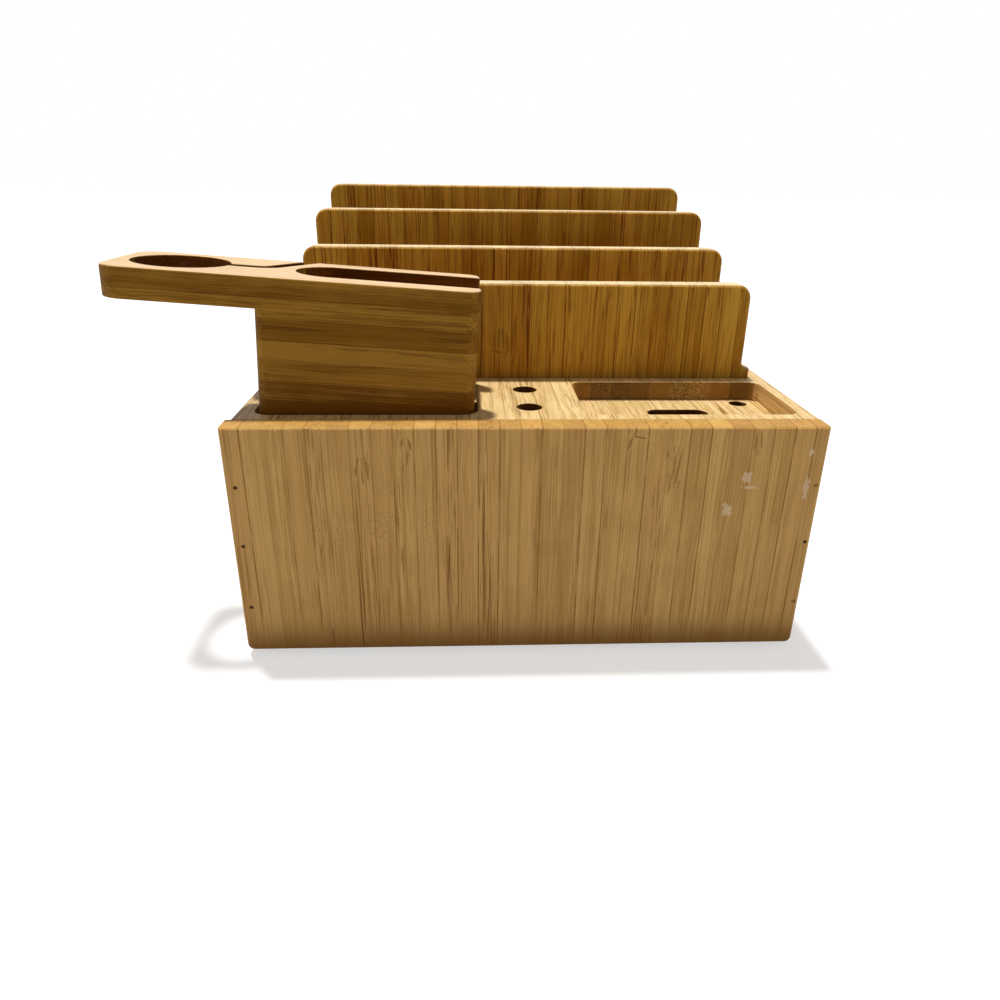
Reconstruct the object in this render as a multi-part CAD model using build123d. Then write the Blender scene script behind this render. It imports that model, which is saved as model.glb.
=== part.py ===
"""Bamboo charging station organizer: a nailed box with a routed top panel,
four lift-out dividers and a lift-out watch and earphone stand.

Millimetres. +X to the user's right, +Y away from the user, +Z up.
The origin is on the table, under the middle of the whole. The pieces are modelled
from the middle of the box's underside, and move to that origin as they are written.
"""
import os
from math import cos, radians, sin

from build123d import *

os.makedirs("parts", exist_ok=True)

# Box
carcass_width = 208.9
box_depth = 220.0
front_board_height = 88.8
front_board_thickness = 9.5
front_board_overhang = 1.5
front_board_corner_radius = 2.5
side_board_thickness = 9.5
back_board_thickness = 9.5
bottom_board_thickness = 6.0
top_panel_thickness = 15.0
board_edge_easing = 0.7
cut_overrun = 2.0

# Back opening, where the charger and its cables go in
back_opening_width = 150.0
back_opening_height = 46.0
back_opening_radius = 9.0
back_opening_sill = 12.0

# Tray routed in the top panel, with a slot and a small hole through its floor
recess_depth = 7.5
recess_front_margin = 5.5
tray_length = 78.5
tray_width = 45.0
tray_corner_radius = 4.5
tray_side_margin = 5.2
tray_slot_length = 24.3
tray_slot_width = 9.0
tray_slot_from_right = 37.6
tray_slot_from_front = 26.3
tray_hole_radius = 3.55
tray_hole_from_right = 9.1
tray_hole_from_back = 5.8

# Pen holes, drilled right through the top panel
pen_hole_radius = 4.75
pen_hole_x = 1.0
pen_hole_from_seam = 15.1
pen_hole_pitch = 24.1
pen_hole_count = 2

# Dividers, from the front one to the back one
divider_upright_width = 189.4
divider_thickness = 9.5
divider_foot_flare = 3.5
divider_foot_height = 4.1
divider_foot_fillet = 2.2
divider_corner_radius = 6.0
divider_edge_easing = 1.0
divider_heights = [38.5, 48.4, 62.0, 72.0]
divider_place_shares = [0, 0.3226, 0.6183, 1]
divider_back_margin = 13.1
groove_clearance = 0.5
groove_front_web = 4.0

# Cable slots, one in each bay between two dividers
cable_slot_length = 30.0
cable_slot_width = 12.0

# Watch and earphone stand: its arm rises a little towards its tip
stand_block_length = 76.9
stand_depth = 45.2
stand_height = 50.0
stand_corner_radius = 5.0
stand_edge_easing = 0.6
stand_lean_degrees = 3.76
arm_thickness = 10.75
arm_reach = 51.0
arm_corner_radius = 8.0
puck_hole_radius = 16.7
puck_hole_rim = 5.0
earphone_slot_length = 66.0
earphone_slot_width = 27.0
earphone_slot_depth = 27.0
cable_slit_width = 5.0
cable_slit_depth = 14.0
cable_slit_straight = 9.0
cable_slit_bend_radius = 7.0
cable_slit_turn_degrees = 63.0
stand_pocket_left_margin = 6.1
stand_pocket_side_clearance = 1.5
stand_pocket_front_clearance = 1.0
stand_pocket_back_clearance = 1.5
stand_pocket_corner_radius = 6.0

# Air-nailer brads of flat wire that hold the boards, set a little below the surface
brad_width = 1.25
brad_thickness = 1.0
brad_length = 25.0
brad_set_depth = 0.5
brad_clearance = 0.1
brad_inset = 1.95
brad_heights = [19.0, 44.3, 67.1]
bottom_brad_length = 20.0
bottom_brad_end_margin = 40.0

# Dowels that locate the top panel on the side boards
dowel_radius = 3.0
dowel_length = 16.0
dowel_depth_in_panel = 6.5
dowel_clearance = 0.05

# Rubber feet
foot_radius = 6.0
foot_height = 2.0
foot_edge_easing = 0.5
foot_inset = 15.0

# Places that follow from the sizes above
panel_top_z = front_board_height
panel_underside_z = panel_top_z - top_panel_thickness
recess_floor_z = panel_top_z - recess_depth
front_y = -box_depth / 2
back_y = box_depth / 2
seam_y = front_y + front_board_thickness
back_board_front_y = back_y - back_board_thickness
recess_front_y = seam_y + recess_front_margin
carcass_left = -carcass_width / 2
carcass_right = carcass_width / 2
side_board_centre_x = carcass_right - side_board_thickness / 2
tray_right = carcass_right - tray_side_margin

# The stand and its pocket
lean = radians(stand_lean_degrees)
arm_length = stand_block_length + arm_reach
stand_centre_y = stand_depth / 2
puck_hole_x = puck_hole_radius + puck_hole_rim - arm_length
stand_pocket_length = (stand_block_length * cos(lean) + recess_depth * sin(lean)
                       + 2 * stand_pocket_side_clearance)
stand_pocket_left = carcass_left + stand_pocket_left_margin
stand_pocket_right = stand_pocket_left + stand_pocket_length
stand_foot_right = stand_pocket_right - stand_pocket_side_clearance - recess_depth * sin(lean)
arm_tip_x = stand_foot_right - arm_length * cos(lean) + (stand_height - arm_thickness) * sin(lean)
stand_pocket_width = stand_depth + stand_pocket_front_clearance + stand_pocket_back_clearance

# The dividers and the bays between them
groove_length = divider_upright_width + 2 * (divider_foot_flare + groove_clearance)
groove_width = divider_thickness + 2 * groove_clearance
first_divider_y = recess_front_y + stand_pocket_width + groove_front_web + groove_clearance
last_divider_y = back_y - divider_back_margin - divider_thickness
divider_front_ys = [
    first_divider_y + share * (last_divider_y - first_divider_y) for share in divider_place_shares
]
bay_centre_ys = [
    (front_face + divider_thickness + next_front_face) / 2
    for front_face, next_front_face in zip(divider_front_ys, divider_front_ys[1:])
]


def block(low, high):
    """Square-edged board between two opposite corners."""
    size = [end - start for start, end in zip(low, high)]
    return Pos(*low) * Box(*size, align=(Align.MIN, Align.MIN, Align.MIN))


def post(radius, height, hangs=False):
    """Round bar that stands on the origin, or hangs below it."""
    z_align = Align.MAX if hangs else Align.MIN
    return Cylinder(radius, height, align=(Align.CENTER, Align.CENTER, z_align))


def cutter(outline, x, y, floor_z):
    """Tool that sinks an outline into the top panel from above, down to a floor."""
    return Pos(x, y, floor_z) * extrude(outline, panel_top_z + cut_overrun - floor_z)


def save(shape, node):
    """Write one node's STEP file, moved so that the origin is under the middle of the whole."""
    shape = Pos(-(arm_tip_x + carcass_right) / 2, 0, foot_height) * shape
    shape.label = node
    export_step(shape, f"parts/{node}.step")


# Brads: each place has its +Z out of the board that the brad holds
def brad(length):
    """Headless nail of flat wire, driven in from the origin."""
    return Box(brad_width, brad_thickness, length, align=(Align.CENTER, Align.CENTER, Align.MAX))


def brad_hole(length):
    """What a brad leaves in the boards, open above its sunken end."""
    depth = length + brad_clearance
    hole = Box(brad_width + 2 * brad_clearance, brad_thickness + 2 * brad_clearance,
               depth + brad_set_depth + cut_overrun, align=(Align.CENTER, Align.CENTER, Align.MIN))
    return Pos(0, 0, -depth) * hole


def wall_brads(side, wall_y):
    """Places of the brads up one end of the front or back board."""
    outward = -1 if wall_y < 0 else 1
    brad_x = side * (carcass_right - brad_inset)
    brad_y = wall_y - outward * brad_set_depth
    return [Pos(brad_x, brad_y, height) * Rot(-90 * outward, 0, 0) for height in brad_heights]


def bottom_brads():
    """Places of the brads driven up through the bottom board into the side boards."""
    reach = box_depth / 2 - bottom_brad_end_margin
    return [
        Pos(side * side_board_centre_x, y, brad_set_depth) * Rot(180, 0, 0)
        for side in (-1, 1)
        for y in (-reach, 0, reach)
    ]


wall_brad_rows = {
    "front_left_brads": wall_brads(-1, front_y),
    "front_right_brads": wall_brads(1, front_y),
    "back_left_brads": wall_brads(-1, back_y),
    "back_right_brads": wall_brads(1, back_y),
}
wall_brad_holes = [place * brad_hole(brad_length) for row in wall_brad_rows.values() for place in row]
bottom_brad_holes = [place * brad_hole(bottom_brad_length) for place in bottom_brads()]


# Dowels: partly in a side board, partly in the top panel
def dowels(side):
    """Places of the dowels on one side, one opposite the middle of each bay."""
    dowel_bottom_z = panel_underside_z + dowel_depth_in_panel - dowel_length
    return [Pos(side * side_board_centre_x, y, dowel_bottom_z) for y in bay_centre_ys]


dowel = post(dowel_radius, dowel_length)
dowel_bore = Pos(0, 0, -dowel_clearance) * post(
    dowel_radius + dowel_clearance, dowel_length + 2 * dowel_clearance)
dowel_holes = [place * dowel_bore for side in (-1, 1) for place in dowels(side)]


# Boards of the box
def make_front_board():
    """Full-height board that covers the ends of the side boards and of the top panel."""
    board = block((carcass_left - front_board_overhang, front_y, 0), (carcass_right, seam_y, panel_top_z))
    lower_corners = board.edges().filter_by(Axis.Y).group_by(Axis.Z)[0]
    board = fillet(lower_corners, front_board_corner_radius)
    board = chamfer(board.faces().sort_by(Axis.Y)[0].edges(), board_edge_easing)
    return board - wall_brad_holes


def make_side_board(side):
    """Board under the edge of the top panel, standing on the bottom board."""
    across = sorted([side * (carcass_right - side_board_thickness), side * carcass_right])
    board = block((across[0], seam_y, bottom_board_thickness),
                  (across[1], back_board_front_y, panel_underside_z))
    return board - wall_brad_holes - bottom_brad_holes - dowel_holes


def make_bottom_board():
    """Thin board nailed up under the side boards."""
    board = block((carcass_left, seam_y, 0), (carcass_right, back_board_front_y, bottom_board_thickness))
    return board - bottom_brad_holes


def make_back_board():
    """Board under the back edge of the top panel, with the opening for the charger."""
    board = block((carcass_left, back_board_front_y, 0), (carcass_right, back_y, panel_underside_z))
    outer_corners = board.edges().filter_by(Axis.Z).group_by(Axis.Y)[-1]
    board = chamfer(outer_corners, board_edge_easing)
    opening = Rot(-90, 0, 0) * extrude(
        RectangleRounded(back_opening_width, back_opening_height, back_opening_radius),
        back_board_thickness + 2 * cut_overrun)
    opening_centre_z = back_opening_sill + back_opening_height / 2
    board = board - Pos(0, back_board_front_y - cut_overrun, opening_centre_z) * opening
    rim = board.faces().sort_by(Axis.Y)[-1].inner_wires()[0].edges()
    board = chamfer(rim, board_edge_easing)
    return board - wall_brad_holes


def make_top_panel():
    """Thick panel with the tray, the stand's pocket, the divider grooves and the holes."""
    panel = block((carcass_left, seam_y, panel_underside_z), (carcass_right, back_y, panel_top_z))
    upper_sides = panel.edges().filter_by(Axis.Y).group_by(Axis.Z)[-1]
    upper_back = panel.edges().filter_by(Axis.X).group_by(Axis.Z)[-1].sort_by(Axis.Y)[-1]
    panel = chamfer(upper_sides + [upper_back], board_edge_easing)

    through_z = panel_underside_z - cut_overrun
    tray = RectangleRounded(tray_length, tray_width, tray_corner_radius)
    tray_slot = SlotOverall(tray_slot_length, tray_slot_width)
    pocket = RectangleRounded(stand_pocket_length, stand_pocket_width, stand_pocket_corner_radius)
    pocket_x = stand_pocket_left + stand_pocket_length / 2
    cuts = [
        cutter(tray, tray_right - tray_length / 2, recess_front_y + tray_width / 2, recess_floor_z),
        cutter(tray_slot, tray_right - tray_slot_from_right, recess_front_y + tray_slot_from_front,
               through_z),
        cutter(Circle(tray_hole_radius), tray_right - tray_hole_from_right,
               recess_front_y + tray_width - tray_hole_from_back, through_z),
        cutter(pocket, pocket_x, recess_front_y + stand_pocket_width / 2, recess_floor_z),
    ]
    for row in range(pen_hole_count):
        pen_hole_y = seam_y + pen_hole_from_seam + pen_hole_pitch * row
        cuts.append(cutter(Circle(pen_hole_radius), pen_hole_x, pen_hole_y, through_z))
    for front_face_y in divider_front_ys:
        groove = Rectangle(groove_length, groove_width)
        cuts.append(cutter(groove, 0, front_face_y + divider_thickness / 2, recess_floor_z))
    for bay_y in bay_centre_ys:
        cuts.append(cutter(SlotOverall(cable_slot_length, cable_slot_width), 0, bay_y, through_z))
    return panel - cuts - dowel_holes


def make_divider(front_face_y, height):
    """Upright board with rounded top corners and a flared foot that drops in its groove."""
    back_face_y = front_face_y + divider_thickness
    foot_top_z = panel_top_z + divider_foot_height
    half_upright = divider_upright_width / 2
    half_foot = half_upright + divider_foot_flare
    foot = block((-half_foot, front_face_y, recess_floor_z), (half_foot, back_face_y, foot_top_z))
    upright = block((-half_upright, front_face_y, foot_top_z),
                    (half_upright, back_face_y, panel_top_z + height))
    board = foot + upright
    foot_top_edges = board.edges().filter_by(Axis.Y).group_by(Axis.Z)[1]
    inner_corners = sorted(foot_top_edges, key=lambda edge: abs(edge.center().X))[:2]
    board = fillet(inner_corners, divider_foot_fillet)
    upper_corners = board.edges().filter_by(Axis.Y).group_by(Axis.Z)[-1]
    board = fillet(upper_corners, divider_corner_radius)
    return chamfer(board.faces().filter_by(Axis.Y).edges(), divider_edge_easing)


# The stand is shaped upright, with its origin at the lower right front corner of the block
def stand_body():
    """Block and arm, with round upright corners and an eased top edge."""
    outline = Pos(-stand_block_length / 2, stand_centre_y) * RectangleRounded(
        stand_block_length, stand_depth, stand_corner_radius)
    foot_allowance = stand_block_length * sin(lean) + cut_overrun
    body = Pos(0, 0, -foot_allowance) * extrude(outline, stand_height + foot_allowance)
    arm_outline = Pos(-arm_length / 2, stand_centre_y) * Rectangle(arm_length, stand_depth)
    arm_outline = fillet(arm_outline.vertices().group_by(Axis.X)[0], arm_corner_radius)
    arm_outline = fillet(arm_outline.vertices().group_by(Axis.X)[-1], stand_corner_radius)
    arm = Pos(0, 0, stand_height - arm_thickness) * extrude(arm_outline, arm_thickness)
    stand = body + arm
    return chamfer(stand.faces().sort_by(Axis.Z)[-1].edges(), stand_edge_easing)


def earphone_slot():
    """Slot for an earphone case, round at its inner end and open at the right."""
    radius = earphone_slot_width / 2
    inner_x = radius - earphone_slot_length
    run = Rectangle(cut_overrun - inner_x, earphone_slot_width, align=(Align.MIN, Align.CENTER))
    outline = Pos(inner_x, stand_centre_y) * (run + Circle(radius))
    return Pos(0, 0, stand_height - earphone_slot_depth) * extrude(
        outline, earphone_slot_depth + cut_overrun)


def cable_slit():
    """Slit from the puck hole along the arm, which bends and leaves at the back."""
    turn = radians(cable_slit_turn_degrees)
    start = Vector(puck_hole_x, stand_centre_y)
    bend_start = start + Vector(puck_hole_radius + cable_slit_straight, 0)
    bend_end = bend_start + Vector(sin(turn), 1 - cos(turn)) * cable_slit_bend_radius
    run_to_back = (stand_depth + cable_slit_width - bend_end.Y) / sin(turn)
    run_end = bend_end + Vector(cos(turn), sin(turn)) * run_to_back
    route = [
        Line(start, bend_start),
        JernArc(bend_start, (1, 0), cable_slit_bend_radius, cable_slit_turn_degrees),
        Line(bend_end, run_end),
    ]
    outline = trace(route, cable_slit_width)
    return Pos(0, 0, stand_height - cable_slit_depth) * extrude(outline, cable_slit_depth + cut_overrun)


def make_watch_stand():
    """Glued-up stand, leaned over, with its foot cut level on the pocket's floor."""
    puck_hole = Pos(puck_hole_x, stand_centre_y, stand_height - arm_thickness - cut_overrun) * post(
        puck_hole_radius, arm_thickness + 2 * cut_overrun)
    stand = stand_body() - earphone_slot() - puck_hole - cable_slit()
    seat = Pos(stand_foot_right, recess_front_y + stand_pocket_front_clearance, recess_floor_z)
    stand = seat * Rot(0, stand_lean_degrees, 0) * stand
    below_floor = block((-box_depth, -box_depth, recess_floor_z - stand_height),
                        (box_depth, box_depth, recess_floor_z))
    return stand - below_floor


def make_foot(side, end):
    """Stick-on rubber foot with a bevelled lower rim."""
    foot = post(foot_radius, foot_height, hangs=True)
    foot = chamfer(foot.edges().group_by(Axis.Z)[0], foot_edge_easing)
    return Pos(side * (carcass_right - foot_inset), end * (back_y - foot_inset), 0) * foot


save(make_front_board(), "front_board")
save(make_side_board(-1), "left_side_board")
save(make_side_board(1), "right_side_board")
save(make_bottom_board(), "bottom_board")
save(make_back_board(), "back_board")
save(make_top_panel(), "top_panel")
for number, (front_face_y, height) in enumerate(zip(divider_front_ys, divider_heights), start=1):
    save(make_divider(front_face_y, height), f"divider_{number}")
save(make_watch_stand(), "watch_stand")

for node, row in wall_brad_rows.items():
    save(Compound([place * brad(brad_length) for place in row]), node)
save(Compound([place * brad(bottom_brad_length) for place in bottom_brads()]), "bottom_brads")
for side_name, side in (("left", -1), ("right", 1)):
    save(Compound([place * dowel for place in dowels(side)]), f"{side_name}_dowels")
    for end_name, end in (("front", -1), ("back", 1)):
        save(make_foot(side, end), f"{end_name}_{side_name}_foot")
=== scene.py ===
from math import cos, radians, sin

import bmesh
import bpy
from mathutils import Matrix, Vector
from mathutils.bvhtree import BVHTree


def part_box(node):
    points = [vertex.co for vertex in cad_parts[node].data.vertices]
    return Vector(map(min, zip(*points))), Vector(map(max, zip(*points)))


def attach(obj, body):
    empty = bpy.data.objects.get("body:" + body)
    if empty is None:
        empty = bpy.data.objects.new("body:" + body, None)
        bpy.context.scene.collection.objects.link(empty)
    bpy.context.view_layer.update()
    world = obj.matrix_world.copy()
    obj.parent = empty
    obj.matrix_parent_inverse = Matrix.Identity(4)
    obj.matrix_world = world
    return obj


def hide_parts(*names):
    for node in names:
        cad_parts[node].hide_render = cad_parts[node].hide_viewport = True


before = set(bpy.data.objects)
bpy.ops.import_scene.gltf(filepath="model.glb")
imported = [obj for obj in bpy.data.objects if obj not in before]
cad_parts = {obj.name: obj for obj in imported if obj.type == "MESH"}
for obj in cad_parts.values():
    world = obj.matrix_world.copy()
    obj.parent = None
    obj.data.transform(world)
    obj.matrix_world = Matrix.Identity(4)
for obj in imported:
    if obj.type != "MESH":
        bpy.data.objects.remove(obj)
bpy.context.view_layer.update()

scene = bpy.context.scene
scene.view_settings.view_transform = "Standard"

# The camera stands where the photographer's did: low in front of the organizer, a little left of its middle,
# with a wide lens tipped down at the front board.
camera_place = Vector((-0.00238, -0.35653, 0.17191))
camera_right = Vector((0.99898, -0.04338, 0.01255))
camera_up = Vector((0.0059, 0.40093, 0.91609))
camera_lens = 27.38
camera_sensor = 36.0
nearest_seen = 0.01

camera = bpy.data.objects.new("camera", bpy.data.cameras.new("camera"))
scene.collection.objects.link(camera)
camera.data.lens = camera_lens
camera.data.sensor_width = camera_sensor
camera.data.clip_start = nearest_seen
camera_back = camera_right.cross(camera_up).normalized()
turn = Matrix((camera_right, camera_back.cross(camera_right), camera_back)).transposed()
camera.matrix_world = Matrix.Translation(camera_place) @ turn.to_4x4()
scene.camera = camera


# The floor is a plain pale sheet, which looks white and still takes the organizer's shadow. The world beyond
# it is plain white to the eye, and a soft even light from all round to everything else.
floor_reach = 6.0
floor_colour = (0.58, 0.575, 0.57, 1)
floor_seen_white = 0.58
floor_roughness = 0.9
floor_gloss = 0.1
room_light = 0.2
white = (1, 1, 1, 1)


def node(tree, kind, inputs=None, **settings):
    """Adds a shader node. Its inputs are values, or the sockets that feed them."""
    made = tree.nodes.new("ShaderNode" + kind)
    for name, value in settings.items():
        setattr(made, name, value)
    for name, value in (inputs or {}).items():
        if isinstance(value, bpy.types.NodeSocket):
            tree.links.new(value, made.inputs[name])
        else:
            made.inputs[name].default_value = value
    return made


def new_material(name):
    """Material with its nodes. Returns it with its node tree and its surface's sockets."""
    material = bpy.data.materials.new(name)
    material.use_nodes = True
    tree = material.node_tree
    return material, tree, tree.nodes["Principled BSDF"].inputs


def seen_straight_or_mirrored(tree):
    """1 for what the camera sees, straight, in gloss or through glass, and 0 for light sent elsewhere."""
    path = node(tree, "LightPath").outputs
    gloss = node(tree, "Math", {0: path["Is Camera Ray"], 1: path["Is Glossy Ray"]}, operation="MAXIMUM")
    return node(tree, "Math", {0: gloss.outputs[0], 1: path["Is Transmission Ray"]},
                operation="MAXIMUM").outputs[0]


floor_material, tree, surface = new_material("pale_floor")
surface["Base Color"].default_value = floor_colour
surface["Roughness"].default_value = floor_roughness
surface["Specular IOR Level"].default_value = floor_gloss
surface["Emission Color"].default_value = white
glow = node(tree, "Math", {0: seen_straight_or_mirrored(tree), 1: floor_seen_white}, operation="MULTIPLY")
tree.links.new(glow.outputs[0], surface["Emission Strength"])

shape = bmesh.new()
bmesh.ops.create_grid(shape, x_segments=1, y_segments=1, size=floor_reach)
floor_mesh = bpy.data.meshes.new("floor")
shape.to_mesh(floor_mesh)
shape.free()
floor_mesh.materials.append(floor_material)
floor = bpy.data.objects.new("floor", floor_mesh)
scene.collection.objects.link(floor)

world = bpy.data.worlds.new("white_room")
world.use_nodes = True
scene.world = world
tree = world.node_tree
brightness = node(tree, "MapRange", {"Value": seen_straight_or_mirrored(tree), "To Min": room_light,
                                     "To Max": 1.0})
tree.nodes["Background"].inputs["Color"].default_value = white
tree.links.new(brightness.outputs[0], tree.nodes["Background"].inputs["Strength"])


# The main lamp is a high soft one behind the organizer, a little to its left, so the tops are bright and the
# boards' faces are in their own shade, as in the photograph.
towards_lamp = Vector((-0.12, 0.19, 1.0))
lamp_strength = 3.05
lamp_softness = radians(4)

lamp = bpy.data.objects.new("overhead_lamp", bpy.data.lights.new("overhead_lamp", "SUN"))
lamp.data.energy = lamp_strength
lamp.data.angle = lamp_softness
lamp.rotation_mode = "QUATERNION"
lamp.rotation_quaternion = towards_lamp.to_track_quat("Z", "Y")
scene.collection.objects.link(lamp)


# Bottom board: a thin bamboo board nailed up under the side boards. Like all the boards it is glued up from
# narrow strips of bamboo cane set on edge, sanded and sealed, so its pattern is built here for all of them.
strip_width = 0.00735
ply_thickness = 0.03
bamboo_pale = (0.80, 0.48, 0.15, 1)
bamboo_dark = (0.56, 0.29, 0.07, 1)
bamboo_warm = (0.72, 0.38, 0.13, 1)
bamboo_line = (0.26, 0.11, 0.015, 1)
scuff_colour = (1.0, 0.75, 0.47, 1)
# Painted shade laid on the walls of bores and slots
painted_bore_shade_tint = (0.42, 0.27, 0.16, 1)
sealed_roughness = 0.42
grain_relief = 0.00012
grain_strength = 0.35
sealed_gloss = 0.2


def calc(tree, operation, *values):
    """Result of a Math node."""
    return node(tree, "Math", dict(enumerate(values)), operation=operation).outputs[0]


def total(tree, first, *others):
    """Sum of several values."""
    for other in others:
        first = calc(tree, "ADD", first, other)
    return first


def product(tree, first, *others):
    """Several values multiplied."""
    for other in others:
        first = calc(tree, "MULTIPLY", first, other)
    return first


def swing(tree, value, *sizes):
    """A value that lies mostly about a half, moved to lie about nothing and multiplied by the sizes."""
    return product(tree, total(tree, value, -0.5), *sizes)


def most(tree, first, *others):
    """Largest of several values."""
    for other in others:
        first = calc(tree, "MAXIMUM", first, other)
    return first


def rest_of(tree, share):
    """What a share leaves of one."""
    return calc(tree, "SUBTRACT", 1.0, share)


def vector_calc(tree, operation, *values, result="Vector"):
    """Result of a Vector Math node."""
    return node(tree, "VectorMath", dict(enumerate(values)), operation=operation).outputs[result]


def xyz(tree, x, y, z):
    """Vector of three values."""
    return node(tree, "CombineXYZ", {0: x, 1: y, 2: z}).outputs[0]


def parts_of(tree, vector):
    """The three values of a vector."""
    return node(tree, "SeparateXYZ", {0: vector}).outputs


def ramp_between(tree, value, low, high, to_low=0.0, to_high=1.0):
    """Smooth step of a value from low to high, given out from to_low to to_high."""
    return node(tree, "MapRange", {"Value": value, "From Min": low, "From Max": high, "To Min": to_low,
                                   "To Max": to_high}, interpolation_type="SMOOTHSTEP").outputs[0]


def mixed(tree, share, first, second, way="MIX"):
    """Colour mixed from two others."""
    return node(tree, "Mix", {0: share, 6: first, 7: second}, data_type="RGBA", blend_type=way).outputs[2]


def toned(tree, colour, tone):
    """Colour made darker or paler by a tone, which is 1 where it stays."""
    return mixed(tree, 1.0, colour, xyz(tree, tone, tone, tone), "MULTIPLY")


def noise(tree, place, scale, detail=2.0, roughness=0.5, distortion=0.0):
    """Value of a noise texture, near 0 to 1 and mostly about a half."""
    return node(tree, "TexNoise", {"Vector": place, "Scale": scale, "Detail": detail, "Roughness": roughness,
                                   "Distortion": distortion}).outputs[0]


def object_place(tree):
    """Place of a point in the object's own coordinates."""
    return node(tree, "TexCoord").outputs["Object"]


def new_group(name, inputs, outputs):
    """Empty node group. Returns it with the sockets inside it that bring in and take out its values."""
    group = bpy.data.node_groups.new(name, "ShaderNodeTree")
    for label, kind, value in inputs:
        socket = group.interface.new_socket(label, in_out="INPUT", socket_type="NodeSocket" + kind)
        socket.default_value = value
    for label, kind in outputs:
        group.interface.new_socket(label, in_out="OUTPUT", socket_type="NodeSocket" + kind)
    return group, group.nodes.new("NodeGroupInput").outputs, group.nodes.new("NodeGroupOutput").inputs


# How many of each mark there are to a metre, across the strips and along them
flames_per_metre = (1300.0, 130.0)
folds_per_metre = (230.0, 1100.0)
specks_per_metre = (1300.0, 620.0)
rubs_per_metre = (900.0, 500.0)


def build_mark():
    """Blemishes of the cane. Strokes are the jagged dark marks of a knuckle, where a leaf sheath grew, and
    wrinkles the folds in it. Specks are small dark dots, and a scuff is a whitish rubbed spot. Reach is the
    distance from the middle of an oval patch, and is 1 on its rim."""
    tree, given, made = new_group(
        "cane_mark",
        [("Across", "Float", 0.0), ("Along", "Float", 0.0), ("Reach", "Float", 0.0), ("Seed", "Float", 0.0)],
        [("Strokes", "Float"), ("Wrinkles", "Float"), ("Specks", "Float"), ("Scuff", "Float")])

    def patch(per_metre, **settings):
        across = product(tree, given["Across"], per_metre[0])
        along = product(tree, given["Along"], per_metre[1])
        return noise(tree, xyz(tree, across, along, given["Seed"]), 1.0, **settings)

    inside = ramp_between(tree, given["Reach"], 1.05, 0.55)
    flames = patch(flames_per_metre, distortion=0.5)
    strokes = ramp_between(tree, flames, 0.53, 0.6)
    folds = ramp_between(tree, patch(folds_per_metre), 0.52, 0.6)
    wrinkles = most(tree, ramp_between(tree, flames, 0.45, 0.38), folds)
    specks = ramp_between(tree, patch(specks_per_metre, detail=3.0, distortion=0.3), 0.5, 0.62)
    ragged = swing(tree, patch(rubs_per_metre, detail=3.0), 2.6)
    scuff = ramp_between(tree, total(tree, given["Reach"], ragged), 0.95, 0.55)
    for label, mark in (("Strokes", strokes), ("Wrinkles", wrinkles), ("Specks", specks)):
        tree.links.new(product(tree, mark, inside), made[label])
    tree.links.new(scuff, made["Scuff"])
    return tree


mark_group = build_mark()

# Sizes of the bamboo's pattern
per_millimetre = 1000.0
bundles_per_metre = 1600.0
bundles_along = 8.0
stains_per_metre = 70.0
wander_per_metre = (90.0, 30.0)
broken_lines_per_metre = 45.0
glue_line_edge = 0.00036
glue_line_core = 0.00012
ply_line_edge = 0.0003
knuckle_spacing = 0.26
knuckle_across_strip = 1.9
knuckle_along_strip = 180.0
knuckle_strength = 0.75
# Share of the lines that stays under the painted sheen of the tops
lines_kept_under_painted_sheen = 0.4


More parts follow.
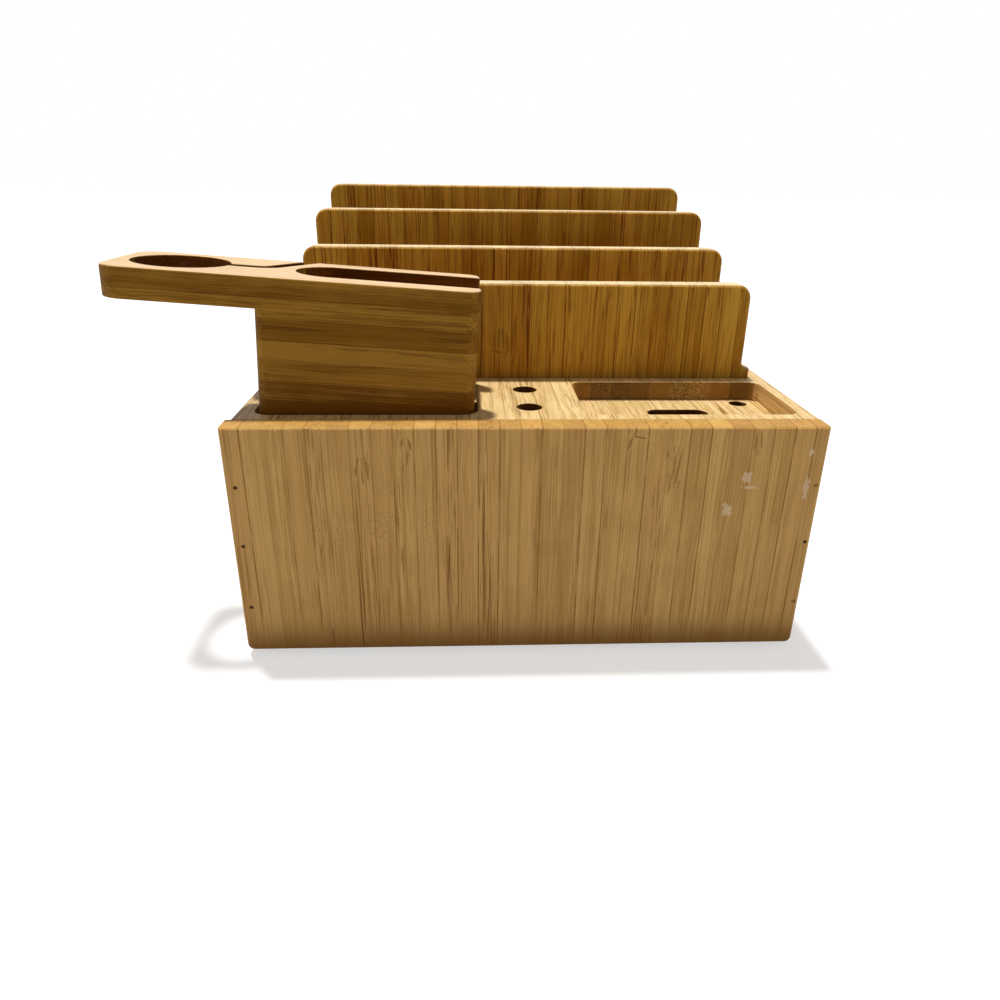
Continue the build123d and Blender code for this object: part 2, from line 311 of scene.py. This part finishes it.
def build_bamboo():
    """Strips of cane glued edge to edge: fibres along them, bundle dots on their ends, and knuckles here and
    there. Across and Grain are the directions across and along the strips, and Origin lies on a glue line."""
    tree, given, made = new_group(
        "bamboo",
        [("Origin", "Vector", (0, 0, 0)), ("Across", "Vector", (1, 0, 0)), ("Grain", "Vector", (0, 0, 1)),
         ("Strip Width", "Float", strip_width), ("Ply", "Float", ply_thickness), ("Wave", "Float", 0.0009),
         ("Seed", "Float", 0.0), ("Pale", "Color", bamboo_pale), ("Dark", "Color", bamboo_dark),
         ("Warm", "Color", bamboo_warm), ("Line", "Color", bamboo_line), ("Contrast", "Float", 0.5),
         ("Streaks", "Float", 1.0), ("Lines", "Float", 0.5), ("Glue", "Float", 0.8),
         ("Knuckles", "Float", 0.15), ("Dark Marks And Painted Shade", "Float", 0.0), ("Mark Pale", "Float", 0.0),
         ("Scuff", "Float", 0.0), ("Tone", "Float", 0.0), ("Busy", "Float", 1.0), ("Painted Bore Shade", "Float", 0.0),
         ("End Tint", "Vector", (0.62, 0.5, 0.34)), ("End Contrast", "Float", 0.35), ("Dots", "Float", 1.0),
         # The Top colour and its share paint a sheen on lit upward faces, and the edge tint paints a
         # highlight on rounded edges
         ("Edge Tint", "Vector", (1.1, 1.08, 1.05)), ("Top", "Color", (0.9, 0.65, 0.35, 1)),
         ("Top Share", "Float", 0.0)],
        [("Color", "Color"), ("Roughness", "Float"), ("Height", "Float")])
    place = vector_calc(tree, "SUBTRACT", object_place(tree), given["Origin"])
    through = vector_calc(tree, "CROSS_PRODUCT", given["Across"], given["Grain"])
    u = vector_calc(tree, "DOT_PRODUCT", place, given["Across"], result="Value")
    v = vector_calc(tree, "DOT_PRODUCT", place, given["Grain"], result="Value")
    w = vector_calc(tree, "DOT_PRODUCT", place, through, result="Value")

    # Each strip and each glue line draws its own numbers
    strip = calc(tree, "DIVIDE", u, given["Strip Width"])
    layer = calc(tree, "DIVIDE", w, given["Ply"])
    strip_number = calc(tree, "FLOOR", strip)
    layer_number = calc(tree, "FLOOR", layer)
    line_number = calc(tree, "ROUND", strip)

    def draws(number):
        key = xyz(tree, number, layer_number, given["Seed"])
        return node(tree, "TexWhiteNoise", {"Vector": key}, noise_dimensions="3D").outputs

    draw = draws(strip_number)["Color"]
    drawn = node(tree, "SeparateColor", {"Color": draw}).outputs
    line_draw = draws(total(tree, line_number, 0.37))["Value"]

    # Glue lines, dark and broken, between the strips and between the plies
    def distance_from(line, value, size):
        return product(tree, calc(tree, "ABSOLUTE", calc(tree, "SUBTRACT", value, line)), given[size])

    from_line = distance_from(line_number, strip, "Strip Width")
    from_ply = distance_from(calc(tree, "ROUND", layer), layer, "Ply")
    broken = noise(tree, xyz(tree, line_number, product(tree, v, broken_lines_per_metre), w), 1.0)
    between_strips = product(tree, ramp_between(tree, from_line, glue_line_edge, glue_line_core),
                             ramp_between(tree, line_draw, 0.0, 0.7, 0.35, 1.0),
                             ramp_between(tree, broken, 0.35, 0.55, 0.4, 1.0))
    between_plies = ramp_between(tree, from_ply, ply_line_edge, 0.0, 0.0, 0.6)
    glue = product(tree, most(tree, between_strips, between_plies), given["Glue"])

    # Fibres, closer together towards the strip's skin side, and thin dark lines that waver along them
    shifted = vector_calc(tree, "MULTIPLY", draw, (37.0, 11.0, 23.0))
    wander_across, wander_along = wander_per_metre
    wander_place = vector_calc(tree, "ADD", shifted, xyz(
        tree, product(tree, u, wander_across), product(tree, v, wander_along),
        product(tree, w, wander_across)))
    wander = node(tree, "TexNoise", {"Vector": wander_place, "Scale": 1.0}).outputs["Color"]
    wander = vector_calc(tree, "SUBTRACT", wander, (0.5, 0.5, 0.5))
    wander = node(tree, "VectorMath", {0: wander, "Scale": given["Wave"]}, operation="SCALE").outputs[0]
    wandering = vector_calc(tree, "ADD", xyz(tree, u, 0.0, w), wander)

    def fibres(scale, along_share, **settings):
        across = vector_calc(tree, "MULTIPLY", wandering, (per_millimetre, 0.0, per_millimetre))
        along = xyz(tree, 0.0, product(tree, v, per_millimetre * along_share), 0.0)
        fibre_place = vector_calc(tree, "ADD", shifted, vector_calc(tree, "ADD", across, along))
        return noise(tree, fibre_place, scale, **settings)

    fine = fibres(1.9, 0.01, detail=3.0, roughness=0.66)
    broad = fibres(0.32, 0.02, detail=1.0)
    ridge = fibres(0.6, 0.012, detail=1.0)
    thread = fibres(2.0, 0.03, detail=1.0)
    in_strip = calc(tree, "SUBTRACT", strip, strip_number)
    skin_side = calc(tree, "GREATER_THAN", drawn["Blue"], 0.5)
    from_skin = calc(tree, "ABSOLUTE", calc(tree, "SUBTRACT", skin_side, in_strip))
    density = ramp_between(tree, from_skin, 0.0, 1.0, 0.45, 1.25)
    stain = noise(tree, vector_calc(tree, "MULTIPLY", place, (stains_per_metre,) * 3), 1.0)
    streak = total(tree, swing(tree, fine, density, 3.8), swing(tree, broad, 1.2), swing(tree, stain, 0.8))
    lines = product(tree, ramp_between(tree, calc(tree, "ABSOLUTE", swing(tree, ridge)), 0.05, 0.01),
                    ramp_between(tree, broad, 0.6, 0.42),
                    ramp_between(tree, drawn["Green"], 0.1, 0.9, 0.35, 1.3), given["Busy"])
    hairs = product(tree, ramp_between(tree, thread, 0.44, 0.34), density, given["Busy"])

    # Cut ends show the bundles as dots, plain on some strips and on walls that carry painted shade
    normal = node(tree, "NewGeometry").outputs["Normal"]
    facing_end = vector_calc(tree, "DOT_PRODUCT", normal, given["Grain"], result="Value")
    facing_end = calc(tree, "ABSOLUTE", facing_end)
    end = ramp_between(tree, facing_end, 0.55, 0.9)
    dot_place = vector_calc(tree, "ADD", shifted, xyz(
        tree, product(tree, u, bundles_per_metre), product(tree, v, bundles_along),
        product(tree, w, bundles_per_metre)))
    dot_distance = node(tree, "TexVoronoi", {"Vector": dot_place, "Scale": 1.0}).outputs["Distance"]
    dotted = product(tree, end, ramp_between(tree, drawn["Blue"], 0.55, 0.7, 0.2, 1.0),
                     rest_of(tree, given["Painted Bore Shade"]))
    dots = ramp_between(tree, dot_distance, 0.5, 0.2)

    # Knuckles, one to a length of cane, each at its own height
    from_knuckle = calc(tree, "WRAP", total(tree, v, product(tree, drawn["Green"], knuckle_spacing)),
                        knuckle_spacing / 2, -knuckle_spacing / 2)
    knuckle_reach = vector_calc(tree, "LENGTH", xyz(
        tree, swing(tree, in_strip, knuckle_across_strip), product(tree, from_knuckle, knuckle_along_strip),
        0.0), result="Value")
    knuckle = node(tree, "Group", {"Across": u, "Along": v, "Reach": knuckle_reach,
                                   "Seed": product(tree, drawn["Red"], 57.0)}, node_tree=mark_group).outputs
    shown = product(tree, calc(tree, "LESS_THAN", drawn["Red"], given["Knuckles"]), rest_of(tree, end))
    # The dark marks given in also carry any painted shade
    dark_marks_and_painted_shade = most(tree, product(tree, knuckle["Strokes"], shown, knuckle_strength), given["Dark Marks And Painted Shade"])
    mark_pale = most(tree, product(tree, knuckle["Wrinkles"], shown), given["Mark Pale"])

    # Rounded edges are given a painted highlight, and faces turned upward take the Top colour where a board
    # has one: a painted sheen that makes the lit tops paler
    facing = parts_of(tree, vector_calc(tree, "ABSOLUTE", normal))
    edge = ramp_between(tree, most(tree, facing[0], facing[1], facing[2]), 0.985, 0.86)
    upward = ramp_between(tree, parts_of(tree, normal)[2], 0.6, 0.9)
    sanded = product(tree, upward, given["Top Share"])
    outside_painted_sheen = rest_of(tree, sanded)

    # The wood itself, and its end grain
    tone = total(tree, 0.5, swing(tree, drawn["Red"], given["Contrast"]),
                 product(tree, streak, given["Streaks"]), given["Tone"])
    colour = mixed(tree, node(tree, "Clamp", {0: tone}).outputs[0], given["Dark"], given["Pale"])
    colour = mixed(tree, product(tree, drawn["Green"], 0.5), colour, given["Warm"])
    colour = mixed(tree, end, colour, given["End Tint"], "MULTIPLY")
    end_swing = product(tree, end, given["End Contrast"], total(tree, drawn["Red"], -0.6))
    colour = toned(tree, colour, total(tree, 1.0, end_swing))
    # Painted sheen: upward faces are mixed towards the pale Top colour, as if lit by the lamp
    top = toned(tree, given["Top"], ramp_between(tree, tone, 0.0, 1.0, 0.84, 1.04))
    colour = mixed(tree, sanded, colour, top)

    # What lies on it: lines, hairs, glue and marks, fainter under the painted sheen of the tops, then the
    # dots
    dark = most(tree, product(tree, lines, given["Lines"]), product(tree, hairs, given["Lines"], 0.75), glue,
                dark_marks_and_painted_shade)
    kept_share = product(tree, outside_painted_sheen, 1.0 - lines_kept_under_painted_sheen)
    dark = product(tree, dark, total(tree, lines_kept_under_painted_sheen, kept_share))
    dotted = product(tree, dotted, outside_painted_sheen, given["Dots"])
    colour = mixed(tree, node(tree, "Clamp", {0: dark}).outputs[0], colour, given["Line"])
    colour = mixed(tree, product(tree, mark_pale, 0.3), colour, given["Pale"])
    colour = mixed(tree, product(tree, given["Scuff"], 0.7), colour, scuff_colour)
    colour = mixed(tree, product(tree, dotted, 0.3), colour, given["Line"])
    colour = mixed(tree, product(tree, dotted, dots, 0.5), colour, given["Pale"])
    # Rounded edges are brightened by the edge tint: a painted highlight
    colour = mixed(tree, edge, colour, given["Edge Tint"], "MULTIPLY")

    # Walls of bores and slots are darkened: painted shade in these recesses
    colour = mixed(tree, given["Painted Bore Shade"], colour, painted_bore_shade_tint, "MULTIPLY")

    rough = total(tree, sealed_roughness, product(tree, broad, 0.12), product(tree, end, 0.12),
                  product(tree, glue, 0.1), product(tree, given["Scuff"], 0.2))
    height = total(tree, product(tree, fine, 0.35), product(tree, dots, end, 0.2),
                   product(tree, mark_pale, 0.2), product(tree, most(tree, glue, lines, dark_marks_and_painted_shade), -0.6))
    tree.links.new(colour, made["Color"])
    tree.links.new(rough, made["Roughness"])
    tree.links.new(height, made["Height"])
    return tree


bamboo_group = build_bamboo()


def raise_surface(tree, surface, height, strength, depth):
    """Bump on a surface."""
    bump = node(tree, "Bump", {"Strength": strength, "Distance": depth, "Height": height})
    tree.links.new(bump.outputs[0], surface["Normal"])


def bamboo_material(name, gloss=sealed_gloss, **values):
    """Sealed bamboo. The values are the bamboo group's own, with spaces in their names as underscores."""
    material, tree, surface = new_material(name)
    bamboo = node(tree, "Group", {label.replace("_", " "): value for label, value in values.items()},
                  name="bamboo", node_tree=bamboo_group)
    # The sawn layer brings in painted shade on bore and slot walls
    sawn = node(tree, "Attribute", attribute_name="sawn").outputs["Fac"]
    tree.links.new(sawn, bamboo.inputs["Painted Bore Shade"])
    tree.links.new(bamboo.outputs["Color"], surface["Base Color"])
    tree.links.new(bamboo.outputs["Roughness"], surface["Roughness"])
    raise_surface(tree, surface, bamboo.outputs["Height"], grain_strength, grain_relief)
    surface["Specular IOR Level"].default_value = gloss
    return material


slight_easing = 0.0003
full_easing = 0.0004
weld_reach = 1e-6
flat_within = radians(0.5)
sharp_past = radians(25)
smooth_within = radians(35)
rounding_steps = 3
brad_hole_edge = 0.0004
largest_kept_face = 4


def eased_board(name, easing, body, material, brads=(), bore=0.0):
    """The board of that name, welded, with its sharp outer edges rounded by the sander, but not round its
    brads. Walls that face each other across no more than the bore are marked as sawn, and take painted shade."""
    brad_rows = [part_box(row) for row in brads]

    def beside_brad(edge):
        middle = (edge.verts[0].co + edge.verts[1].co) / 2
        return any(low.x - brad_hole_edge < middle.x < high.x + brad_hole_edge
                   and low.z - brad_hole_edge < middle.z < high.z + brad_hole_edge for low, high in brad_rows)

    board = bmesh.new()
    board.from_mesh(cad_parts[name].data)
    bmesh.ops.remove_doubles(board, verts=board.verts, dist=weld_reach)
    bmesh.ops.dissolve_limit(board, angle_limit=flat_within, verts=board.verts, edges=board.edges)
    sharp = [edge for edge in board.edges if edge.is_manifold and edge.is_convex
             and edge.calc_face_angle() > sharp_past and not beside_brad(edge)]
    bmesh.ops.bevel(board, geom=sharp, offset=easing, segments=rounding_steps, profile=0.5, affect="EDGES",
                    material=-1, clamp_overlap=False)
    large = [face for face in board.faces if len(face.verts) > largest_kept_face]
    bmesh.ops.triangulate(board, faces=large)
    # Walls in the sawn layer take painted shade
    sawn = board.faces.layers.float.new("sawn")
    board.normal_update()
    walls = BVHTree.FromBMesh(board)
    for face in board.faces:
        face.smooth = True
        start = face.calc_center_median() + face.normal * easing
        if bore and abs(face.normal.z) < 0.5 and walls.ray_cast(start, face.normal, bore)[0]:
            face[sawn] = 1.0
    for edge in board.edges:
        edge.smooth = edge.is_manifold and edge.calc_face_angle() < smooth_within
    mesh = bpy.data.meshes.new(name + "_eased")
    board.to_mesh(mesh)
    board.free()
    mesh.materials.append(material)
    piece = bpy.data.objects.new(name + "_eased", mesh)
    scene.collection.objects.link(piece)
    shading = piece.modifiers.new("flat_faces_stay_flat", "WEIGHTED_NORMAL")
    shading.keep_sharp = True
    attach(piece, body)
    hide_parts(name)


# Origin lies this far outside a board's face, so that no line between plies runs along it
clear_of_face = 0.002

low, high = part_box("bottom_board")
eased_board("bottom_board", slight_easing, "box", bamboo_material(
    "bamboo_bottom", Origin=(low.x, low.y, low.z - clear_of_face), Across=(1, 0, 0), Grain=(0, 1, 0),
    Seed=3.0))


# Side boards: two boards on edge under the top panel, nailed to the front, back and bottom boards. Their
# strips stand upright, as those of every wall of the box do.
side_glue_line = 0.003
for side, seed in (("left", 5.0), ("right", 8.0)):
    low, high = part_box(side + "_side_board")
    eased_board(side + "_side_board", slight_easing, "box", bamboo_material(
        "bamboo_side_" + side, Origin=(low.x - clear_of_face, low.y - side_glue_line, low.z),
        Across=(0, 1, 0), Grain=(0, 0, 1), Seed=seed))


# Back board: closes the box under the panel's back edge. A rounded opening is cut through it for the leads of
# a charger, and its strips stand upright.
back_glue_line = 0.001
low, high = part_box("back_board")
eased_board("back_board", full_easing, "box", bamboo_material(
    "bamboo_back", Origin=(low.x - back_glue_line, high.y + clear_of_face, low.z), Across=(1, 0, 0),
    Grain=(0, 0, 1), Seed=12.0), brads=("back_left_brads", "back_right_brads"))


# Front board: covers the ends of the side boards and the panel's front edge, and is nailed on at both ends.
# It is the board that is seen most, with knuckles, specks and rubbed spots on its face, and painted shade
# that darkens it towards its bottom edge.
front_glue_line = 0.0068
# Painted shade: the front face darkens over this height above its bottom edge
painted_shade_height = 0.016
painted_shade_strength = 0.7
face_depth = 0.001
ragged_per_metre = 1300.0
knuckle_darkness = 0.65
speck_darkness = 0.3

# Each mark has the place of its middle, from the left end and down from the top, its width and its length.
# A stroke also has how many degrees it leans.
front_knuckles = [(0.0475, 0.0155, 0.008, 0.012), (0.0625, 0.0085, 0.005, 0.012),
                  (0.156, 0.0095, 0.009, 0.007), (0.157, 0.0175, 0.0065, 0.016),
                  (0.1855, 0.006, 0.005, 0.01)]
front_strokes = [(0.0491, 0.015, 0.0007, 0.0075, -4), (0.0474, 0.018, 0.0006, 0.005, -4),
                 (0.0459, 0.0122, 0.0008, 0.0036, 8), (0.0452, 0.0155, 0.0008, 0.003, 0),
                 (0.0641, 0.0061, 0.0009, 0.0042, -14), (0.0631, 0.011, 0.0007, 0.005, -4),
                 (0.0614, 0.0055, 0.0008, 0.003, 12), (0.1434, 0.0036, 0.0007, 0.0046, -80),
                 (0.1401, 0.0059, 0.0009, 0.0045, 16), (0.1418, 0.0016, 0.0007, 0.003, 8),
                 (0.1565, 0.0142, 0.0007, 0.008, 2), (0.1578, 0.016, 0.0007, 0.012, 6),
                 (0.1555, 0.0206, 0.0006, 0.008, 6), (0.1842, 0.0055, 0.0007, 0.006, 3),
                 (0.1862, 0.005, 0.0007, 0.005, -8)]
front_specks = [(0.037, 0.038, 0.024, 0.02), (0.0545, 0.0365, 0.016, 0.015), (0.0705, 0.036, 0.008, 0.026),
                (0.0585, 0.0225, 0.012, 0.009), (0.196, 0.036, 0.003, 0.004)]
front_scuffs = [(0.2047, 0.0092, 0.0022, 0.003), (0.1831, 0.0189, 0.0042, 0.0052),
                (0.1843, 0.0226, 0.0055, 0.0018), (0.1774, 0.0312, 0.0052, 0.0052),
                (0.205, 0.023, 0.0028, 0.011)]

# Some strips, counted from the left end, are paler, and some have more lines
strips_to_first_line = 2.0
paler_strips = (2, 10, 13, 16, 18, 22, 24, 26)
paler_by = 0.22
busy_strips = (5, 7, 9, 11, 13, 21)
quiet_lines = 0.7
busier_by = 0.8


def nearest_mark(tree, place, places):
    """Distance from the middle of the nearest oval mark, 1 on its rim."""
    nearest = 10.0
    for across, down, width, length, *lean in places:
        offset = vector_calc(tree, "SUBTRACT", place, (across, 0, -down))
        if lean:
            offset = node(tree, "VectorRotate", {"Vector": offset, "Angle": -radians(lean[0])},
                          rotation_type="Y_AXIS").outputs[0]
        shares = vector_calc(tree, "MULTIPLY", offset, (2 / width, 0, 2 / length))
        nearest = calc(tree, "MINIMUM", nearest, vector_calc(tree, "LENGTH", shares, result="Value"))
    return nearest


def mark_face(material, corner, knuckle_places, speck_places, scuff_places, stroke_places, foot=0.0):
    """Marks on a board's front face, whose upper left corner is given, with the painted shade in foot laid in
    among the dark marks.
    Returns how far a point is from that corner."""
    tree = material.node_tree
    from_corner = vector_calc(tree, "SUBTRACT", object_place(tree), corner)
    away = parts_of(tree, from_corner)
    on_face = calc(tree, "LESS_THAN", away[1], face_depth)
    looks = []
    for places in (knuckle_places, speck_places, scuff_places):
        reach = nearest_mark(tree, from_corner, places)
        looks.append(node(tree, "Group", {"Across": away[0], "Along": away[2], "Reach": reach},
                          node_tree=mark_group).outputs)
    knuckles, specks, scuffs = looks
    ragged = swing(tree, noise(tree, from_corner, ragged_per_metre), 1.6)
    reach = total(tree, nearest_mark(tree, from_corner, stroke_places), ragged)
    stroke = ramp_between(tree, reach, 1.35, 0.9)
    beside_stroke = ramp_between(tree, reach, 4.0, 2.0)
    dark = most(tree, product(tree, knuckles["Strokes"], knuckle_darkness),
                product(tree, specks["Specks"], speck_darkness), stroke, foot)
    pale = most(tree, knuckles["Wrinkles"], beside_stroke)
    bamboo = tree.nodes["bamboo"].inputs
    for label, mark in (("Dark Marks And Painted Shade", dark), ("Mark Pale", pale), ("Scuff", scuffs["Scuff"])):
        tree.links.new(product(tree, mark, on_face), bamboo[label])
    return away


def one_of(tree, number, chosen):
    """1 where a whole number is one of those chosen."""
    return most(tree, *[calc(tree, "COMPARE", number, float(other), 0.5) for other in chosen])


low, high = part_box("front_board")
front_bamboo = bamboo_material(
    "bamboo_front", Origin=(low.x + front_glue_line, high.y + clear_of_face, low.z), Across=(1, 0, 0),
    Grain=(0, 0, 1), Seed=21.0, Contrast=0.28, Knuckles=0.0, Pale=(0.88, 0.53, 0.17, 1),
    Dark=(0.60, 0.31, 0.075, 1), Warm=(0.80, 0.43, 0.14, 1), Line=(0.30, 0.115, 0.012, 1),
    End_Tint=(0.88, 0.88, 0.72), End_Contrast=0.16)
tree = front_bamboo.node_tree
# foot is painted shade, darker towards the board's bottom edge
height = parts_of(tree, object_place(tree))[2]
foot = product(tree, ramp_between(tree, height, low.z + painted_shade_height, low.z), painted_shade_strength)
away = mark_face(front_bamboo, (low.x, low.y, high.z), front_knuckles, front_specks, front_scuffs,
                 front_strokes, foot)
strip = calc(tree, "DIVIDE", total(tree, away[0], -front_glue_line), strip_width)
strip = total(tree, calc(tree, "FLOOR", strip), strips_to_first_line)
bamboo = tree.nodes["bamboo"].inputs
tree.links.new(product(tree, one_of(tree, strip, paler_strips), paler_by), bamboo["Tone"])
busier = product(tree, one_of(tree, strip, busy_strips), busier_by)
tree.links.new(total(tree, quiet_lines, busier), bamboo["Busy"])
eased_board("front_board", full_easing, "box", front_bamboo,
            brads=("front_left_brads", "front_right_brads"))


# Top panel: one thick board, routed with the tray, the stand's pocket and the dividers' grooves, and drilled
# for pens and cables. Its strips run from front to back.
panel_strip = 0.0084
panel_glue_line = 0.0076
widest_panel_bore = 0.03
low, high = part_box("top_panel")
eased_board("top_panel", slight_easing, "box", bamboo_material(
    "bamboo_panel", Origin=(low.x + panel_glue_line, low.y, low.z - clear_of_face), Across=(1, 0, 0),
    Grain=(0, 1, 0), Seed=33.0, Strip_Width=panel_strip, Wave=0.0022, Pale=(0.95, 0.70, 0.34, 1),
    Dark=(0.74, 0.50, 0.19, 1), Warm=(0.92, 0.62, 0.29, 1), Line=(0.36, 0.19, 0.04, 1), Contrast=0.6,
    Lines=0.85, End_Tint=(0.36, 0.24, 0.08), End_Contrast=1.0), bore=widest_panel_bore)


# Dividers: four loose boards of rising height. Each drops into a groove by a foot that flares at both ends,
# and its top corners and long edges are rounded.
divider_strip = 0.0072
divider_glue_line = 0.001
faint_gloss = 0.08
divider_knuckle = (0.0905, 0.0245, 0.0085, 0.015)
divider_strokes = [(0.0885, 0.0275, 0.0008, 0.004, -70), (0.0893, 0.022, 0.0007, 0.007, 2),
                   (0.0912, 0.0215, 0.0007, 0.008, 0), (0.0928, 0.024, 0.0007, 0.009, -3)]
divider_tones = (0.05, 0.08, -0.2, 0.05)
knuckles_on_others = 0.08
for number, tone in enumerate(divider_tones, 1):
    name = f"divider_{number}"
    low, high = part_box(name)
    # Their wood colours are kept darker than the other boards', partly as painted shade on their faces; the
    # Top colour paints a pale sheen on their lit tops, and the edge tint a highlight on their edges
    divider_bamboo = bamboo_material(
        f"bamboo_{name}", gloss=faint_gloss, Origin=(low.x + divider_glue_line * number,
                                                     high.y + clear_of_face, low.z),
        Across=(1, 0, 0), Grain=(0, 0, 1), Seed=40.0 + number, Strip_Width=divider_strip,
        Pale=(0.70, 0.40, 0.052, 1), Dark=(0.40, 0.18, 0.009, 1), Warm=(0.66, 0.31, 0.035, 1),
        Line=(0.19, 0.055, 0.004, 1), Contrast=1.0, Tone=tone, Streaks=0.87, Lines=0.75,
        Knuckles=knuckles_on_others * (number > 1), Top=(1.0, 0.80, 0.47, 1), Top_Share=0.97,
        Edge_Tint=(1.15, 1.1, 1.0))
    if number == 1:
        mark_face(divider_bamboo, (low.x, low.y, high.z), [divider_knuckle], [], [], divider_strokes)
    eased_board(name, full_easing, name, divider_bamboo)


# Watch and earphone stand: a block and arm sawn from one glued-up billet of flat plies, which lean a little
# with it. Its grain runs along the arm.
stand_lean = radians(3.76)
stand_ply = 0.00705
stand_strip = 0.019
stand_first_ply = 0.0004
stand_glue_line = 0.004
widest_stand_bore = 0.04
ply_tones = (-0.25, 0.2, -0.45, 0.95, 0.2, -0.45, -0.9)
low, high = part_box("watch_stand")
stand_grain = Vector((cos(stand_lean), 0, -sin(stand_lean)))
stand_up = Vector((sin(stand_lean), 0, cos(stand_lean)))
stand_top_front = Vector((low.x, low.y, high.z))
# Its wood colours are far darker than the panel's, partly as painted shade on its faces; the Top colour
# paints a pale sheen on its lit tops, and the edge tint a highlight on its rounded corners
stand_bamboo = bamboo_material(
    "bamboo_stand", gloss=faint_gloss, Across=(0, 1, 0), Grain=stand_grain,
    Origin=stand_top_front + stand_up * stand_first_ply - Vector((0, stand_glue_line, 0)), Ply=stand_ply,
    Strip_Width=stand_strip, Wave=0.0018, Seed=61.0, Pale=(0.50, 0.245, 0.035, 1),
    Dark=(0.20, 0.075, 0.002, 1), Warm=(0.36, 0.16, 0.01, 1), Line=(0.11, 0.034, 0.001, 1), Contrast=0.0,
    Knuckles=0.0, Top=(0.97, 0.67, 0.38, 1), Top_Share=0.92,
    Edge_Tint=(1.12, 1.12, 1.15), End_Tint=(0.85, 0.96, 1.35), End_Contrast=0.1, Dots=0.3)
tree = stand_bamboo.node_tree
from_top = vector_calc(tree, "SUBTRACT", object_place(tree), stand_top_front)
ply = calc(tree, "DIVIDE", vector_calc(tree, "DOT_PRODUCT", from_top, stand_up, result="Value"), -stand_ply)
ply_number = calc(tree, "FLOOR", ply)
ply_tone = 0.0
for number, tone in enumerate(ply_tones):
    in_ply = calc(tree, "COMPARE", ply_number, float(number), 0.5)
    ply_tone = total(tree, ply_tone, product(tree, in_ply, tone))
tree.links.new(ply_tone, tree.nodes["bamboo"].inputs["Tone"])
eased_board("watch_stand", full_easing, "watch_stand", stand_bamboo, bore=widest_stand_bore)


# Dowels: plain beech pegs that locate the panel on the side boards. They are glued in and hidden. Their grain
# stands upright, with the short dark flecks of beech.
beech_dark = (0.48, 0.30, 0.16, 1)
beech_pale = (0.66, 0.46, 0.28, 1)
beech_fleck = (0.28, 0.14, 0.06, 1)
beech_grain_per_metre = (900.0, 900.0, 60.0)
beech_flecks_per_metre = (2600.0, 2600.0, 500.0)
beech_relief = 0.00008
low_strength = 0.3


def give_material(name, material):
    """Gives a CAD node's own mesh another material."""
    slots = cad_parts[name].data.materials
    slots.clear()
    slots.append(material)


dowel_material, tree, surface = new_material("beech_peg")
place = object_place(tree)
grain = noise(tree, vector_calc(tree, "MULTIPLY", place, beech_grain_per_metre), 1.0, detail=3.0)
flecks = noise(tree, vector_calc(tree, "MULTIPLY", place, beech_flecks_per_metre), 1.0)
flecks = ramp_between(tree, flecks, 0.62, 0.7)
colour = mixed(tree, ramp_between(tree, grain, 0.3, 0.7), beech_dark, beech_pale)
tree.links.new(mixed(tree, product(tree, flecks, 0.5), colour, beech_fleck), surface["Base Color"])
tree.links.new(total(tree, 0.5, product(tree, grain, 0.2)), surface["Roughness"])
raise_surface(tree, surface, grain, low_strength, beech_relief)
for side in ("left", "right"):
    give_material(side + "_dowels", dowel_material)


# Brads: headless nails of flat steel wire, shot in flush and browned by the finish, and painted darker still
# as the shade of the holes they sit in. On the right of the front board all but the middle one are stopped
# with wood filler.
steel_dark_painted_shade = (0.035, 0.02, 0.012, 1)
steel_browned_painted_shade = (0.11, 0.05, 0.02, 1)
browned_metal = 0.3
filler_colour = (0.62, 0.36, 0.11, 1)
rust_spots_per_metre = 2600.0
rust_relief = 0.00005
middle_brad_reach = 0.006


def brad_steel(name, middle=None):
    """Browned steel wire, painted darker as the shade of the holes the brads sit in. Where a middle height is
    given, the brads above and below it are filled over.
    """
    material, tree, surface = new_material(name)
    place = object_place(tree)
    rust = noise(tree, place, rust_spots_per_metre, detail=3.0)
    colour = mixed(tree, ramp_between(tree, rust, 0.35, 0.65), steel_dark_painted_shade, steel_browned_painted_shade)
    surface["Metallic"].default_value = browned_metal
    if middle is not None:
        away = calc(tree, "ABSOLUTE", total(tree, parts_of(tree, place)[2], -middle))
        filled = calc(tree, "GREATER_THAN", away, middle_brad_reach)
        colour = mixed(tree, filled, colour, filler_colour)
        bare_metal = calc(tree, "SUBTRACT", browned_metal, product(tree, filled, browned_metal))
        tree.links.new(bare_metal, surface["Metallic"])
    tree.links.new(colour, surface["Base Color"])
    tree.links.new(total(tree, 0.45, product(tree, rust, 0.3)), surface["Roughness"])
    raise_surface(tree, surface, rust, low_strength, rust_relief)
    return material


bare_brads = brad_steel("brad_steel")
low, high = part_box("front_right_brads")
filled_brads = brad_steel("brad_steel_filled", (low.z + high.z) / 2)
for row in ("front_left", "front_right", "back_left", "back_right", "bottom"):
    give_material(row + "_brads", filled_brads if row == "front_right" else bare_brads)


# Feet: four discs of black rubber, cut from sheet and stuck under the corners. They are dusty and a little
# scuffed where they stand.
rubber_black = (0.022, 0.022, 0.023, 1)
rubber_dusty = (0.13, 0.12, 0.11, 1)
grit_per_metre = 1800.0
dust_patches_per_metre = 240.0
grit_relief = 0.00008
grit_strength = 0.4
rubber_material, tree, surface = new_material("foot_rubber")
place = object_place(tree)
grit = noise(tree, place, grit_per_metre, detail=4.0)
dust = ramp_between(tree, noise(tree, place, dust_patches_per_metre, detail=3.0), 0.48, 0.68)
tree.links.new(mixed(tree, product(tree, dust, 0.5), rubber_black, rubber_dusty), surface["Base Color"])
tree.links.new(total(tree, 0.62, product(tree, dust, 0.25)), surface["Roughness"])
raise_surface(tree, surface, grit, grit_strength, grit_relief)
for end in ("front", "back"):
    for side in ("left", "right"):
        give_material(f"{end}_{side}_foot", rubber_material)
